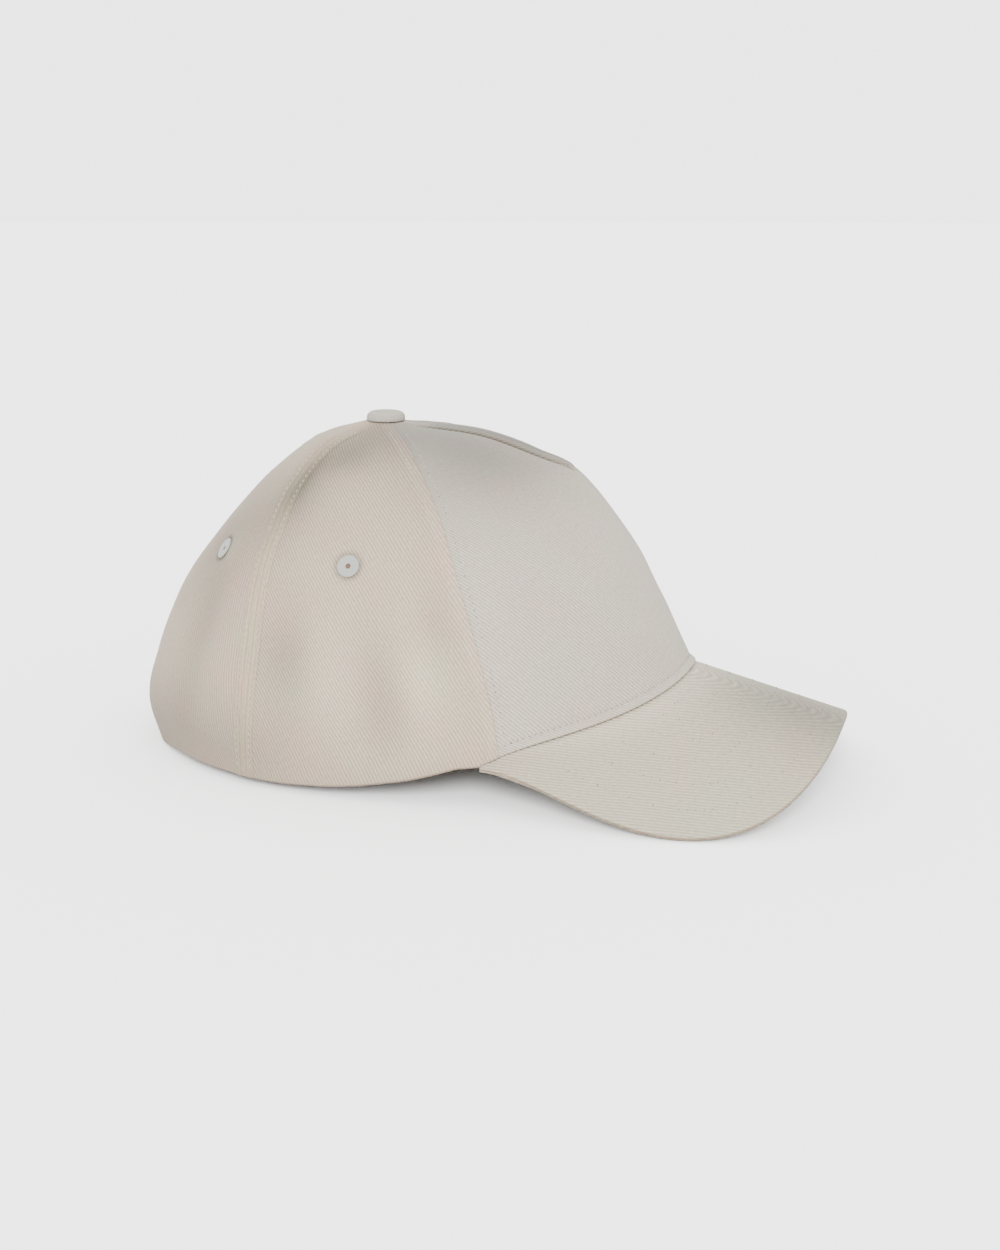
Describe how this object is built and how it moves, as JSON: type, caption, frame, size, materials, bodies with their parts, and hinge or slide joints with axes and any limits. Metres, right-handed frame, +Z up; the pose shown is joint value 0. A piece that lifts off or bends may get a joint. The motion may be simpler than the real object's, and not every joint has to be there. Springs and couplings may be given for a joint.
{
  "type": "five panel cap",
  "caption": "Cloth cap with a domed crown of sewn panels, a button on top, stitched eyelets, a sweatband and a curved peak, resting on its rim and peak.",
  "frame": {"origin": "centre of the cap's plan, on the surface that it rests on", "axes": "+Z up, the peak points along -Y, the wearer's left is +X"},
  "size_m": [0.1628, 0.2794, 0.1316],
  "materials": {
    "crown_twill": "matte cotton twill",
    "peak_twill": "matte cotton twill with stitch rows",
    "button_twill": "twill stretched over a button",
    "eyelet_thread": "satin thread wound round a hole",
    "sweatband_cloth": "folded cotton band"
  },
  "bodies": {
    "root": {"front_panel": "crown_twill", "side_panel_right": "crown_twill", "side_panel_left": "crown_twill", "back_panel_right": "crown_twill", "back_panel_left": "crown_twill", "eyelet_side_right": "eyelet_thread", "eyelet_side_left": "eyelet_thread", "eyelet_back_right": "eyelet_thread", "eyelet_back_left": "eyelet_thread", "top_button": "button_twill", "peak_upper_cover": "peak_twill", "peak_under_cover": "peak_twill", "sweatband": "sweatband_cloth"}
  },
  "joints": []
}
